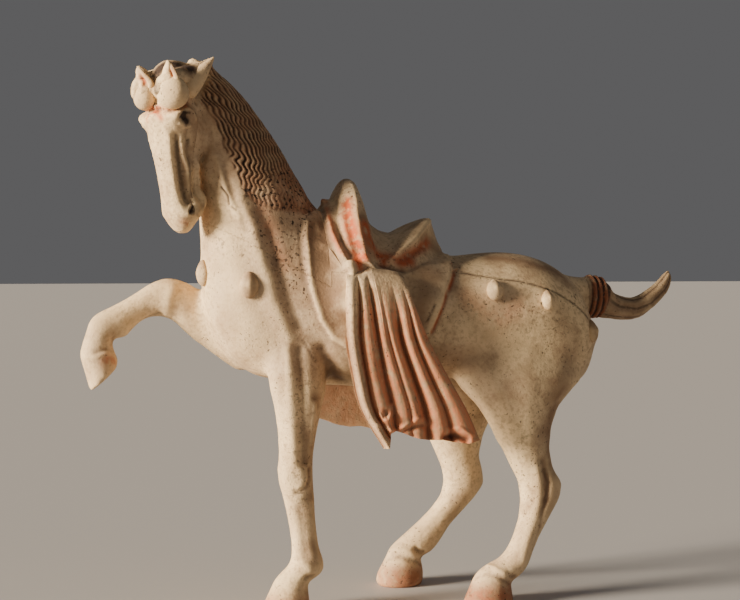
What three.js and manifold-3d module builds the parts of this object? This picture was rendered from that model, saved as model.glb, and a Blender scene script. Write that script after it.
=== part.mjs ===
// Pottery horse: a saddled horse of fired clay that stands on three legs, with its right foreleg raised
// and its head turned to its left. It has a parted forelock, a combed mane, a bound tail, a saddle on a
// pad, a pleated cloth gathered under the pommel on each side, and nine applied medallions. All of it was
// moulded, luted together while the clay was soft and fired once, so it is one solid.
// Millimetres, +Z up. The horse faces -X, its left side is -Y, and it stands on z = 0.
import * as THREE from 'three';
import { mergeVertices } from 'three/addons/utils/BufferGeometryUtils.js';
import Module from 'manifold-3d';

// Driving sizes. The figure's outlines are drawn at DRAWN_HEIGHT and take their real size from HEIGHT.
const HEIGHT = 642;
const DRAWN_HEIGHT = 642;
const FIGURE = HEIGHT / DRAWN_HEIGHT;
const HEAD_TURN = 37; // degrees, to the horse's left
const PAD_THICKNESS = 4.5;
const SADDLE_EDGE = 4.5; // the saddle's rim stands this far above the pad
const ROLL_THICKNESS = 9;
const CLOTH_THICKNESS = 8;
const PLEATS = 5;
const PLEAT_DEPTH = 6;
const HEM_TIP = 15; // the cloth's two lower corners hang this much lower than its hem
const MEDALLION = { length: 27, width: 21, proud: 7 };
const MANE_LOCKS = 14;
const MANE_THICKNESS = 4;
const MANE_GROOVE = 2.4;
const EMBED = 6; // how far an applied piece reaches into the clay behind it

const clay = new THREE.MeshStandardMaterial({ color: 0xcdb99a, roughness: 0.86, metalness: 0 });
const { lerp, smoothstep, degToRad } = THREE.MathUtils;

const wasm = await Module();
wasm.setup();

// Smooth values between rows of numbers, for t from 0 to rows.length - 1.
function between(rows) {
  const spline = new THREE.CubicInterpolant([...rows.keys()], rows.flat(), rows[0].length);
  return (t) => Array.from(spline.evaluate(t));
}

// Smooth values between rows whose first number is the place that the others belong to.
function placed(rows) {
  const places = rows.map((row) => row[0]);
  const values = rows.flatMap((row) => row.slice(1));
  const spline = new THREE.CubicInterpolant(places, values, rows[0].length - 1);
  return (place) => Array.from(spline.evaluate(place));
}

// A closed solid through rings of points. All rings have as many points and turn the same way.
function skin(rings) {
  const around = rings[0].length;
  const ends = [rings[0], rings.at(-1)];
  const points = [...rings.flat(), ...ends.map((ring) => centreOf(ring))];
  const index = [];
  for (let i = 0; i < around; i++) {
    const next = (i + 1) % around;
    for (let r = 0; r < rings.length - 1; r++) {
      const low = r * around;
      const high = low + around;
      index.push(low + i, low + next, high + i, low + next, high + next, high + i);
    }
    const last = (rings.length - 1) * around;
    index.push(next, i, points.length - 2, last + i, last + next, points.length - 1);
  }
  const geometry = new THREE.BufferGeometry().setFromPoints(points);
  geometry.setIndex(index);
  return geometry;
}

function centreOf(points) {
  return points.reduce((sum, p) => sum.add(p), new THREE.Vector3()).divideScalar(points.length);
}

// A solid of three.js geometry, with its faces turned outwards if they point inwards.
function solid(geometry) {
  const bare = new THREE.BufferGeometry();
  bare.setAttribute('position', geometry.getAttribute('position'));
  bare.setIndex(geometry.index);
  const merged = mergeVertices(bare, 1e-4);
  const corners = merged.index.array;
  const p = [0, 1, 2].map(() => new THREE.Vector3());
  let volume = 0;
  for (let i = 0; i < corners.length; i += 3) {
    p.forEach((v, k) => v.fromBufferAttribute(merged.attributes.position, corners[i + k]));
    volume += p[0].dot(p[1].cross(p[2]));
  }
  return new wasm.Manifold(
    new wasm.Mesh({
      numProp: 3,
      vertProperties: new Float32Array(merged.attributes.position.array),
      triVerts: new Uint32Array(volume < 0 ? corners.toReversed() : corners),
    }),
  );
}

// A limb or trunk: ovals through rows of [front x, front z, back x, back z, middle y, half width].
// front and back say how keen the oval's two ends are: 1 is round, more is pointed, less is square.
function limb(rows, { front, back, widest = 0.5 }) {
  const at = between(rows.map((row) => row.map((value) => value * FIGURE)));
  const keenness = (end, t) => (typeof end === 'function' ? end(t) : end);
  return {
    last: rows.length - 1,
    point(t, turn) {
      const [ax, az, bx, bz, y, half] = at(t);
      const rise = Math.sin(turn);
      const side = Math.cos(turn);
      const share = rise > 0 ? lerp(widest, 1, rise) : lerp(widest, 0, -rise);
      const out = Math.sign(side) * Math.abs(side) ** keenness(rise > 0 ? front : back, t);
      return new THREE.Vector3(lerp(bx, ax, share), y + half * out, lerp(bz, az, share));
    },
  };
}

function skinOf(shape, steps, around) {
  const rings = [];
  for (let i = 0; i <= steps; i++) {
    const t = (i * shape.last) / steps;
    rings.push(Array.from({ length: around }, (_, k) => shape.point(t, (2 * Math.PI * (k + 0.5)) / around)));
  }
  return skin(rings);
}

// The trunk and neck in one, from the rump to the poll. "front" is the back and the crest, and "back" is
// the belly and the throat.
const trunk = limb(
  [
    [280, 331, 281, 302, 0, 13],
    [277, 350, 279, 280, 0, 38],
    [265, 375, 270, 260, 0, 57],
    [243, 398, 248, 250, 0, 71],
    [208, 415, 210, 254, 0, 79],
    [163, 421, 160, 263, 0, 80],
    [108, 416, 105, 265, 0, 77],
    [50, 411, 45, 260, 0, 81],
    [2, 417, -15, 258, 0, 82],
    [-38, 440, -62, 261, 0, 79],
    [-62, 464, -108, 265, 0, 73],
    [-78, 484, -165, 284, 0, 67],
    [-87, 498, -198, 337, 0, 62],
    [-94, 508, -205, 380, 0, 57],
    [-104, 525, -206, 420, -1, 51],
    [-119, 548, -208, 456, -3, 45],
    [-138, 573, -211, 492, -7, 39],
    [-160, 599, -213, 525, -12, 33],
    [-185, 621, -217, 553, -17, 29],
    [-208, 636, -225, 580, -21, 25],
    [-225, 639, -234, 603, -24, 17],
  ],
  {
    front: (t) => 0.88 + 0.3 * smoothstep(t, 8, 12) - 0.15 * smoothstep(t, 16, 20),
    back: 0.86,
    widest: 0.47,
  },
);

const LEG = { front: 0.9, back: 0.95 };

const nearForeleg = limb(
  [
    [-138, 345, -68, 337, -31, 20],
    [-139, 286, -63, 281, -42, 24],
    [-128, 232, -75, 230, -46, 21.5],
    [-123, 190, -82, 188, -42, 18],
    [-124, 160, -82, 156, -39, 19.5],
    [-118, 137, -80, 135, -38, 17],
    [-111, 108, -78, 106, -36, 14],
    [-106, 78, -74, 75, -34, 14],
    [-107, 58, -66, 53, -33, 17],
    [-115, 48, -72, 41, -32, 18],
    [-125, 37, -86, 33, -31, 19],
    [-129, 29, -85, 26, -31, 22],
    [-143, 0, -83, 0, -30, 26],
  ],
  LEG,
);

const nearHindLeg = limb(
  [
    [128, 352, 232, 346, -28, 29],
    [100, 312, 256, 304, -37, 36],
    [88, 270, 261, 266, -45, 38],
    [114, 243, 230, 241, -48, 35],
    [140, 205, 213, 204, -52, 26],
    [158, 166, 212, 165, -55, 21],
    [171, 139, 227, 135, -57, 19.5],
    [171, 104, 214, 108, -58, 16],
    [160, 73, 191, 70, -60, 14],
    [146, 53, 182, 47, -60, 17],
    [124, 44, 172, 33, -61, 18],
    [113, 34, 157, 25, -62, 19],
    [109, 27, 158, 18, -62, 22],
    [97, 0, 160, 0, -62, 26],
  ],
  LEG,
);

const farHindLeg = limb(
  [
    [104, 352, 210, 346, 28, 29],
    [76, 308, 214, 299, 37, 36],
    [70, 247, 195, 244, 47, 36],
    [88, 200, 171, 199, 53, 28],
    [107, 160, 162, 158, 57, 21.5],
    [116, 134, 171, 130, 58, 19.5],
    [110, 107, 155, 104, 60, 16],
    [85, 81, 128, 77, 62, 14.5],
    [60, 60, 111, 52, 63, 16.5],
    [46, 47, 100, 40, 65, 18],
    [43, 38, 86, 34, 66, 19],
    [38, 29, 89, 26, 66, 22],
    [28, 9, 90, 9, 66, 26],
    [31, 0, 87, 0, 66, 24.5],
  ],
  LEG,
);

// The raised far foreleg: forearm lifted forwards, knee bent, hoof hanging.
const raisedForeleg = limb(
  [
    [-108, 362, -88, 306, 22, 18],
    [-165, 358, -142, 272, 34, 25],
    [-199, 375, -187, 298, 41, 24],
    [-222, 386, -214, 320, 42, 21],
    [-241, 389, -236, 340, 42, 20],
    [-262, 381, -257, 342, 42, 16],
    [-285, 366, -273, 335, 42, 14.5],
    [-310, 353, -289, 318, 42, 17],
    [-328, 343, -303, 318, 42, 17],
    [-336, 322, -303, 308, 42, 17],
    [-342, 301, -300, 299, 42, 20],
    [-340, 291, -297, 293, 42, 21.5],
    [-330, 256, -299, 284, 42, 21],
  ],
  LEG,
);

// A stout dock, a wound binding in two turns, and a curled free end.
const tail = limb(
  [
    [232, 398, 240, 340, 0, 22],
    [260, 393, 276, 333, 0, 23],
    [281, 389, 288, 341, 0, 21],
    [286, 391, 293, 337, 0, 24],
    [294, 389, 299, 338, 0, 22.5],
    [302, 389, 307, 336, 0, 23],
    [316, 380, 316, 336, 0, 20],
    [321, 370, 322, 335, 0, 16],
    [342, 363, 341, 334, 0, 14],
    [360, 365, 364, 338, 0, 13],
    [384, 381, 395, 362, 0, 9.5],
    [397, 395, 406, 381, 0, 6],
    [401, 399, 406, 393, 0, 3],
  ],
  { front: 0.9, back: 0.9 },
);

// The head has a frame of its own: origin at the poll, x forwards out of the face, y to its left, z up.
const headFrame = new THREE.Matrix4()
  .makeTranslation(-244.5 * FIGURE, -35 * FIGURE, 641 * FIGURE)
  .multiply(new THREE.Matrix4().makeRotationZ(Math.PI + degToRad(HEAD_TURN)));

// The skull and muzzle. "front" is the face, "back" the jaw.
const skull = limb(
  [
    [12, -5, -20, -7, 0, 11],
    [24, -15, -32, -16, 0, 21],
    [30, -29, -39, -29, 0, 27],
    [33, -49, -42, -49, 0, 29],
    [34, -70, -42, -72, 0, 31],
    [30, -87, -42, -90, 0, 28],
    [25, -105, -39, -108, 0, 24],
    [20, -124, -30, -126, 0, 19],
    [16, -142, -30, -143, 0, 16.5],
    [13, -157, -38, -156, 0, 16.5],
    [11, -167, -41, -166, 0, 17.5],
    [8, -177, -33, -175, 0, 18.5],
    [3, -187, -28, -185, 0, 16.5],
    [-5, -196, -25, -194, 0, 12],
    [-11, -201, -20, -200, 0, 5],
  ],
  { front: 0.72, back: 0.85, widest: 0.55 },
);

// A round tapering lock, horn or roll through rows of [x, y, z, radius], each section square to the path.
function tapered(rows, steps, around) {
  const points = rows.map((row) => new THREE.Vector3(...row));
  const path = new THREE.CatmullRomCurve3(points, false, 'centripetal');
  const radius = between(rows.map((row) => [row[3]]));
  const frames = path.computeFrenetFrames(steps, false);
  const rings = [];
  for (let i = 0; i <= steps; i++) {
    const t = path.getUtoTmapping(i / steps);
    const [r] = radius(t * (rows.length - 1));
    rings.push(
      Array.from({ length: around }, (_, k) => {
        const turn = (2 * Math.PI * k) / around;
        return path
          .getPoint(t)
          .addScaledVector(frames.normals[i], r * Math.cos(turn))
          .addScaledVector(frames.binormals[i], r * Math.sin(turn));
      }),
    );
  }
  return skin(rings);
}

// A ball of the given half sizes, turned and placed by a frame.
function lump(x, y, z, halfX, halfY, halfZ, frame, columns = 10, rows = 7) {
  const geometry = new THREE.SphereGeometry(FIGURE, columns, rows).scale(halfX, halfY, halfZ);
  return geometry.translate(x * FIGURE, y * FIGURE, z * FIGURE).applyMatrix4(frame);
}

// The parted forelock: on each side a round roll over the brow, swept back past the ear to a blunt tip.
function forelock(side) {
  const rows = [
    [30, 15, -55, 7],
    [33, 16, -48, 14],
    [30, 17, -38, 16.5],
    [18, 21, -30, 14],
    [0, 25, -22, 11],
    [-19, 27, -12, 7],
    [-37, 26, -3, 5],
    [-40, 26, -2, 2.5],
  ];
  return tapered(rows.map((row) => scaled(row, side)), 10, 9).applyMatrix4(headFrame);
}

function ear(side) {
  const rows = [
    [28, 18, -34, 8],
    [30, 18.5, -24, 8.5],
    [33, 19.5, -15, 7],
    [36, 20.5, -8, 4],
    [38, 21, -4, 1],
  ];
  return tapered(rows.map((row) => scaled(row, side)), 5, 7).applyMatrix4(headFrame);
}

function scaled([x, y, z, radius], side) {
  return [x, side * y, z, radius].map((value) => value * FIGURE);
}

const brow = (side) => lump(12, side * 16, -72, 20, 16.5, 17, headFrame, 9, 6);

// The solids that applied pieces are seated on.
const trunkSkin = skinOf(trunk, 32, 20);
const bodyMesh = new THREE.Mesh(trunkSkin, new THREE.MeshBasicMaterial({ side: THREE.DoubleSide }));
const FAR_OUT = 2 * HEIGHT;

// Where a straight line from outside first meets the trunk, and the way out of it there.
function seat(from, towards) {
  const ray = new THREE.Raycaster(from, towards.clone().normalize());
  const [hit] = ray.intersectObject(bodyMesh);
  const normal = hit.face.normal.clone();
  return { point: hit.point, normal: normal.dot(towards) > 0 ? normal.negate() : normal };
}

// The saddle and its pad are drawn round an axis along the trunk: x, and degrees from straight up.
const AXIS_HEIGHT = 345 * FIGURE;

function outFrom(x, degrees, radius) {
  const turn = degToRad(degrees);
  return new THREE.Vector3(x, radius * Math.sin(turn), AXIS_HEIGHT + radius * Math.cos(turn));
}

function bodyRadius(x, degrees) {
  const from = outFrom(x, degrees, FAR_OUT);
  const axis = outFrom(x, degrees, 0);
  return seat(from, axis.clone().sub(from)).point.distanceTo(axis);
}

// The pad lies over the back like a sheet. Rows of [degrees, front x, rear x] give its edges on one side.
const padEdges = placed([
  [0, -64, 97],
  [15, -76, 95],
  [30, -94, 90],
  [46, -98, 82],
  [66, -94, 76],
  [88, -85, 70],
  [103, -73, 56],
  [112, -56, 40],
]);
const PAD_REACH = 112; // degrees down each side

function pad() {
  const columns = 6;
  const rows = 20;
  const rings = [];
  for (let r = 0; r <= rows; r++) {
    const degrees = lerp(-PAD_REACH, PAD_REACH, r / rows);
    const [front, rear] = padEdges(Math.abs(degrees)).map((x) => x * FIGURE);
    const xs = Array.from({ length: columns }, (_, c) => lerp(front, rear, c / (columns - 1)));
    const radii = xs.map((x) => bodyRadius(x, degrees));
    const outer = xs.map((x, c) => outFrom(x, degrees, radii[c] + PAD_THICKNESS));
    const inner = [columns - 1, Math.floor(columns / 2), 0];
    rings.push([...outer, ...inner.map((c) => outFrom(xs[c], degrees, radii[c] - EMBED))]);
  }
  return skin(rings);
}

// The saddle's outline along the middle of the back: withers, tall pommel, low seat, cantle and rear slope.
const SADDLE_LINE = [
  [-62, 471],
  [-56, 477],
  [-49, 484],
  [-43, 496],
  [-37, 506],
  [-30, 509],
  [-23, 506],
  [-17, 492],
  [-12, 472],
  [-5, 455],
  [8, 445],
  [24, 441],
  [40, 446],
  [56, 455],
  [68, 461],
  [75, 462],
  [79, 450],
  [84, 432],
  [92, 418],
  [100, 411],
];
const SADDLE_REACH = 56; // degrees down each side
const POMMEL_REAR = -20;
const CANTLE_PEAK = 75;
const SADDLE_END = 100;

// Where a place on the middle outline lies at some degrees down the side. The cantle sweeps forwards.
function saddleX(middleX, degrees) {
  const crest = CANTLE_PEAK - 1.75 * (Math.hypot(degrees, 8) - 8);
  const end = SADDLE_END - 0.75 * degrees;
  if (middleX < POMMEL_REAR) return middleX;
  if (middleX < CANTLE_PEAK) {
    return lerp(POMMEL_REAR, crest, (middleX - POMMEL_REAR) / (CANTLE_PEAK - POMMEL_REAR));
  }
  return lerp(crest, end, (middleX - CANTLE_PEAK) / (SADDLE_END - CANTLE_PEAK));
}

function saddle() {
  const angles = [0, 5, 12, 20, 29, 39, 48, SADDLE_REACH];
  const across = [...angles.slice(1).reverse().map((angle) => -angle), ...angles];
  const rings = SADDLE_LINE.map(([middleX, middleZ]) => {
    const place = (degrees) => saddleX(middleX, Math.abs(degrees)) * FIGURE;
    const over = (degrees) => bodyRadius(place(degrees), degrees) + PAD_THICKNESS;
    const rise = middleZ * FIGURE - AXIS_HEIGHT - over(0) - SADDLE_EDGE;
    const point = (degrees, radius) => outFrom(place(degrees), degrees, radius);
    const outer = across.map((degrees) => {
      const angle = Math.abs(degrees);
      const arch = (1 - Math.max(angle - 3, 0) / SADDLE_REACH) ** 1.3;
      const dish = Math.max(Math.cos(degToRad((angle * 90) / SADDLE_REACH)), 0) ** 1.5;
      const fall = lerp(arch, dish, smoothstep(middleX, POMMEL_REAR, 20));
      return point(degrees, over(degrees) + SADDLE_EDGE + rise * fall);
    });
    const inner = [SADDLE_REACH, 0, -SADDLE_REACH].map((degrees) =>
      point(degrees, over(degrees) - PAD_THICKNESS - EMBED),
    );
    return [...outer, ...inner];
  });
  return skin(rings);
}

// The rolled edge of the cloth runs over the withers in front of the pommel, from knot to knot.
const ROLL_REACH = 58;

function rollPoint(degrees) {
  const share = Math.abs(degrees) / ROLL_REACH;
  const x = (-58 - 16 * share + 30 * share ** 3) * FIGURE;
  return outFrom(x, degrees, bodyRadius(x, degrees) + PAD_THICKNESS + 0.1 * ROLL_THICKNESS);
}

function roll() {
  const rows = [];
  for (let degrees = -ROLL_REACH; degrees <= ROLL_REACH; degrees += ROLL_REACH / 5) {
    const p = rollPoint(degrees);
    rows.push([p.x, p.y, p.z, ROLL_THICKNESS / 2]);
  }
  return tapered(rows, 14, 6);
}

const stillFrame = new THREE.Matrix4();

function knot(side) {
  const p = rollPoint(side * ROLL_REACH).divideScalar(FIGURE);
  return lump(p.x + 1, p.y, p.z - 3, 14, 13, 14, stillFrame, 8, 6);
}

// The cloth falls from the knot in pleats. Rows of [share of the way down, front x, rear x, height, y of the
// pleats' ridges]. The far cloth hangs further forwards, by its lean, and lower, by its drop.
const clothRows = placed([
  [0, -58, -30, 402, 80],
  [0.12, -60, 0, 378, 88],
  [0.28, -57, 14, 345, 94],
  [0.45, -54, 30, 312, 96],
  [0.68, -47, 53, 266, 96],
  [0.88, -33, 82, 224, 95],
  [1, -18, 102, 206, 94],
]);

function cloth(side, lean, drop) {
  const steps = 10;
  const perPleat = 3;
  const columns = PLEATS * perPleat;
  const rings = [];
  for (let r = 0; r <= steps; r++) {
    const down = r / steps;
    const [front, rear, height, ridge] = clothRows(down);
    const leaning = lean * down ** 2;
    const place = (across, y) => {
      const x = (lerp(front, rear, across) + leaning) * FIGURE;
      const tip = HEM_TIP * down ** 5 * Math.abs(2 * across - 1) ** 3;
      return new THREE.Vector3(x, y, (height - drop * down) * FIGURE - tip);
    };
    const depth = PLEAT_DEPTH * lerp(0.45, 1, down);
    const outer = Array.from({ length: columns + 1 }, (_, c) => {
      const fold = 1 - Math.abs(Math.sin((Math.PI * c) / perPleat));
      const edge = Math.min(c, columns - c) < 1 ? 0.5 : 1;
      return place(c / columns, side * (ridge * FIGURE - depth * fold * edge));
    });
    const hung = ridge * FIGURE - PLEAT_DEPTH - CLOTH_THICKNESS;
    const back = lerp(70 * FIGURE, hung, smoothstep(down, 0.25, 0.6));
    const inner = [0, 0.25, 0.5, 0.75, 1].map((across) => place(lerp(0.03, 0.97, across), side * back));
    rings.push([...outer, ...inner.reverse()]);
  }
  return skin(rings);
}

// A medallion is a low boss, pleated to a point at its top.
function medallion({ point, normal }) {
  const up = new THREE.Vector3(0, 0, 1);
  up.addScaledVector(normal, -up.dot(normal)).normalize();
  const frame = new THREE.Matrix4().makeBasis(new THREE.Vector3().crossVectors(up, normal), up, normal);
  const geometry = new THREE.SphereGeometry(1, 8, 4);
  const p = geometry.attributes.position;
  for (let i = 0; i < p.count; i++) {
    const narrow = 1 - 0.35 * Math.max(p.getY(i), 0) ** 2;
    p.setX(i, p.getX(i) * narrow);
  }
  geometry.scale(MEDALLION.width / 2, MEDALLION.length / 2, MEDALLION.proud);
  return geometry.applyMatrix4(frame.setPosition(point));
}

function medallions() {
  const beside = (x, z, side) =>
    seat(new THREE.Vector3(x * FIGURE, side * FAR_OUT, z * FIGURE), new THREE.Vector3(0, -side, 0));
  const onEnd = (y, z, end) =>
    seat(new THREE.Vector3(end * FAR_OUT, y * FIGURE, z * FIGURE), new THREE.Vector3(-end, 0, 0));
  const paired = [-1, 1].flatMap((side) => [
    beside(-167, 381, side),
    beside(132, 374, side),
    beside(202, 362, side),
    onEnd(side * 42, 318, 1),
  ]);
  return [onEnd(0, 396, -1), ...paired].map(medallion);
}

// The mane lies over the crest and down both sides of the neck in combed locks that hang straight down.
const MANE_START = 11.4; // places along the trunk's rows: withers and poll
const MANE_END = 20;

function mane() {
  const steps = 2 * MANE_LOCKS;
  const reach = 3;
  const rings = [];
  for (let i = 0; i <= steps; i++) {
    const along = i / steps;
    const crest = lerp(MANE_START, MANE_END, along);
    const groove = i % 2 ? 0 : MANE_GROOVE;
    const cover = lerp(25, 88, smoothstep(along, 0, 0.4)); // degrees of the neck's oval, crest to edge
    const slant = 2.4 * Math.sin(Math.PI * along) ** 0.5;
    const under = (share) => {
      const t = Math.max(crest - slant * Math.abs(share), 0);
      return trunk.point(t, degToRad(90 - cover * share));
    };
    const middle = centreOf([under(-1), under(1), under(0)]);
    const outer = [];
    for (let j = -reach; j <= reach; j++) {
      const share = j / reach;
      const surface = under(share);
      const away = surface.clone().sub(middle).normalize();
      const proud = Math.abs(j) === reach ? -1 : MANE_THICKNESS - groove;
      outer.push(surface.addScaledVector(away, proud));
    }
    const inner = [1, 0, -1].map((share) => under(share * 0.9).lerp(middle, 0.3));
    rings.push([...outer, ...inner]);
  }
  return skin(rings);
}

const pieces = [
  trunkSkin,
  skinOf(nearForeleg, 19, 11),
  skinOf(nearHindLeg, 20, 11),
  skinOf(farHindLeg, 20, 11),
  skinOf(raisedForeleg, 19, 11),
  skinOf(tail, 20, 9),
  skinOf(skull, 19, 14).applyMatrix4(headFrame),
  ...[-1, 1].flatMap((side) => [forelock(side), ear(side), brow(side), knot(side)]),
  mane(),
  pad(),
  saddle(),
  roll(),
  cloth(-1, 0, 0),
  cloth(1, -28, 10),
  ...medallions(),
];

function geometryOf(made) {
  const mesh = made.getMesh();
  const geometry = new THREE.BufferGeometry();
  geometry.setAttribute('position', new THREE.BufferAttribute(mesh.vertProperties, 3));
  geometry.setIndex(new THREE.BufferAttribute(mesh.triVerts, 1));
  geometry.computeVertexNormals();
  return geometry;
}

const join = (solids) => solids.reduce((all, one) => all.add(one));

// Pieces that meet can shut in a pocket of air, whose skin faces inwards. The clay fills it.
const luted = join(pieces.map(solid));
const filled = join(luted.decompose().filter((part) => part.volume() > 0));

const horse = new THREE.Mesh(geometryOf(filled), clay);
horse.name = 'horse';

// The origin is under the middle of the whole figure, on the ground.
const box = new THREE.Box3().setFromObject(horse);
horse.position.set(-(box.min.x + box.max.x) / 2, -(box.min.y + box.max.y) / 2, -box.min.z);

const group = new THREE.Group();
group.add(horse);

export default group;
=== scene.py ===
import math

import bpy
import numpy as np
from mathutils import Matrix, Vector, kdtree
from mathutils.bvhtree import BVHTree


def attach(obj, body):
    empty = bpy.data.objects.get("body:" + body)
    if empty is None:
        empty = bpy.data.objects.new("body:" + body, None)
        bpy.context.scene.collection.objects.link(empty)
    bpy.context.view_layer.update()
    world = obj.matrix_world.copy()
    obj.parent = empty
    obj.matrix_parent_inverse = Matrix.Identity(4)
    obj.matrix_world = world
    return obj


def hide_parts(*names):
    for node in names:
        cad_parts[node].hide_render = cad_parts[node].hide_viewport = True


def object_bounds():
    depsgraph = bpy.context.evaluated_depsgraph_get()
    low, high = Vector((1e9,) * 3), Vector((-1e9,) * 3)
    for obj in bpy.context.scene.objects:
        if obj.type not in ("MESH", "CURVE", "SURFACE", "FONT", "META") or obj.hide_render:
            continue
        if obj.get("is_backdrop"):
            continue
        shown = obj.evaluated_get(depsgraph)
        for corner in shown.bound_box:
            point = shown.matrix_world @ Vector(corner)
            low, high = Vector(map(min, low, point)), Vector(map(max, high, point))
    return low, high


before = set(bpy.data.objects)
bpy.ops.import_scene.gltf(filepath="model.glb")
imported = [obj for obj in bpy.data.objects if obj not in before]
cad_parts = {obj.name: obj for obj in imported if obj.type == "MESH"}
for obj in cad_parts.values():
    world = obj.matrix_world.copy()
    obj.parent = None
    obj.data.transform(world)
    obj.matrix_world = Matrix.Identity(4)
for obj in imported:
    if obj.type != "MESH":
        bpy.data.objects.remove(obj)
cad_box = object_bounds()

# The studio: a plain pale floor under an even grey sky, one strong soft light from the left, a weak
# fill on the right, and a camera level with the horse's neck that sees it slightly from the front.
VIEW_TURN = math.radians(-17)
EYE = Vector((-0.5441, -1.6735, 0.404))
PICTURE = (740, 600)  # px
PICTURE_MIDDLE = 370  # px
HORIZON = 265  # px down the picture
FOCAL = 1446.3  # px
SENSOR = 36  # mm
FLOOR_SIZE = 60
FLOOR_COLOUR = (0.52, 0.50, 0.49, 1)
FLOOR_ROUGHNESS = 0.7
FILL_PLACE = Vector((2.2, -2.2, 1.3))
FILL_AIM = Vector((0, 0, 0.30))
FILL_SIZE = 2.0
FILL_POWER = 3
FILL_COLOUR = (1.0, 0.90, 0.80)
KEY_PLACE = (-2, -1, 2)
KEY_WAY = Vector((1.0, 0.11, -0.19))
KEY_STRENGTH = 13
KEY_SPREAD = math.radians(20)
KEY_COLOUR = (1.0, 0.87, 0.69)
SKY_COLOUR = (0.57, 0.565, 0.58, 1)
SKY_STRENGTH = 0.20

bpy.ops.object.camera_add(location=EYE, rotation=(math.pi / 2, 0, VIEW_TURN))
camera = bpy.context.object
camera.data.sensor_width = SENSOR
camera.data.lens = SENSOR * FOCAL / PICTURE[0]
camera.data.shift_y = (HORIZON - PICTURE[1] / 2) / PICTURE[0]
bpy.context.scene.camera = camera

bpy.ops.mesh.primitive_plane_add(size=FLOOR_SIZE)
floor = bpy.context.object
floor.name = "floor"
floor_paint = bpy.data.materials.new("pale_floor")
floor_paint.use_nodes = True
floor_shader = floor_paint.node_tree.nodes["Principled BSDF"]
floor_shader.inputs["Base Color"].default_value = FLOOR_COLOUR
floor_shader.inputs["Roughness"].default_value = FLOOR_ROUGHNESS
floor.data.materials.append(floor_paint)
floor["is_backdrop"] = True

bpy.ops.object.light_add(type="AREA", location=FILL_PLACE)
fill_lamp = bpy.context.object
fill_lamp.name = "fill_lamp"
fill_lamp.data.size = FILL_SIZE
fill_lamp.data.energy = FILL_POWER
fill_lamp.data.color = FILL_COLOUR
fill_lamp.rotation_euler = (FILL_AIM - FILL_PLACE).to_track_quat("-Z", "Y").to_euler()

bpy.ops.object.light_add(type="SUN", location=KEY_PLACE)
key_lamp = bpy.context.object
key_lamp.name = "key_lamp"
key_lamp.data.energy = KEY_STRENGTH
key_lamp.data.angle = KEY_SPREAD
key_lamp.data.color = KEY_COLOUR
key_lamp.rotation_euler = KEY_WAY.to_track_quat("-Z", "Y").to_euler()

studio = bpy.data.worlds.new("studio")
studio.use_nodes = True
sky = studio.node_tree.nodes["Background"]
sky.inputs["Color"].default_value = SKY_COLOUR
sky.inputs["Strength"].default_value = SKY_STRENGTH
bpy.context.scene.world = studio

# The body: trunk, neck, head and legs of buff earthenware, pressed in moulds, luted while soft and slipped.
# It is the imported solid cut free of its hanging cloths, given a fine skin, smoothed like wet clay with a
# hand, and tooled. Places are drawn in millimetres, with x counted from the drawing's own middle.
DRAWN_MIDDLE = 32.4  # mm
SKIN_GRAIN = 2.36  # mm
CLOTH_INNER = 79.5  # mm from the middle plane: inside the hanging cloths, outside the belly
CLOTH_LENGTH = (-84, 106)  # mm, lowest and highest x of the solid's hanging cloths
CLOTH_HEIGHT = (150, 352)  # mm, lowest and highest z of them
CUTTER_DEPTH = 40  # mm
RUB_SHARE = 0.6
SKIN_RUBS = (4, 24, 100)  # rounds: all over, then little on saddle and head, then on the trunk alone
FINE_RUBS = 6  # rounds on a skin of half the grain
TRUNK_FRONT = (-215, -195)  # mm of x over which the trunk fades in
TRUNK_REAR = (268, 290)  # mm of x over which it fades out
TRUNK_LOW = (250, 290)  # mm up
SADDLE_FRONT = (-84, -76)  # mm of x
SADDLE_REAR = (96, 104)  # mm of x
SADDLE_LOW = (395, 405)  # mm up
SADDLE_KEPT = 0.7  # share of the second rubbing that the saddle is spared
HEAD_REAR = (195, 215)  # mm before x 0
HEAD_LOW = (430, 445)  # mm up
HEAD_KEPT = 0.85  # the same for the head
RIM_REACH = 3  # mm from a rim on which tooling fades
RELIEF_ROUNDS = 10
HOLLOW_DEPTH = (0.08, 0.55)  # mm below the skin around, from where the dirt and painted shade start to where they are full
RIDGE_HEIGHT = (0.08, 0.50)  # mm above it, from where the painted highlight starts to where it is full
MERGED = 1e-5  # m between points of the solid that are one


def frame_point(x, y, z):
    return Vector((x - DRAWN_MIDDLE, y, z)) / 1000


def in_drawing(place):
    """A place of the frame, in metres, as one of the drawing, in millimetres."""
    return np.array(place) * 1000 + (DRAWN_MIDDLE, 0, 0)


def activate(piece):
    bpy.ops.object.select_all(action="DESELECT")
    piece.select_set(True)
    bpy.context.view_layer.objects.active = piece


def apply_modifier(piece, kind, **settings):
    activate(piece)
    modifier = piece.modifiers.new(kind.lower(), kind)
    for key, value in settings.items():
        setattr(modifier, key, value)
    bpy.ops.object.modifier_apply(modifier=modifier.name)


def drawn_points(piece):
    points = np.empty(len(piece.data.vertices) * 3)
    piece.data.vertices.foreach_get("co", points)
    return in_drawing(points.reshape(-1, 3))


def place_points(piece, points):
    piece.data.vertices.foreach_set("co", ((points - (DRAWN_MIDDLE, 0, 0)) / 1000).ravel())
    piece.data.update()


def outward(piece):
    normals = np.empty(len(piece.data.vertices) * 3)
    piece.data.vertex_normals.foreach_get("vector", normals)
    return normals.reshape(-1, 3)


def edge_ends(piece):
    ends = np.empty(len(piece.data.edges) * 2, dtype=np.int64)
    piece.data.edges.foreach_get("vertices", ends)
    return ends.reshape(-1, 2).T


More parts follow.
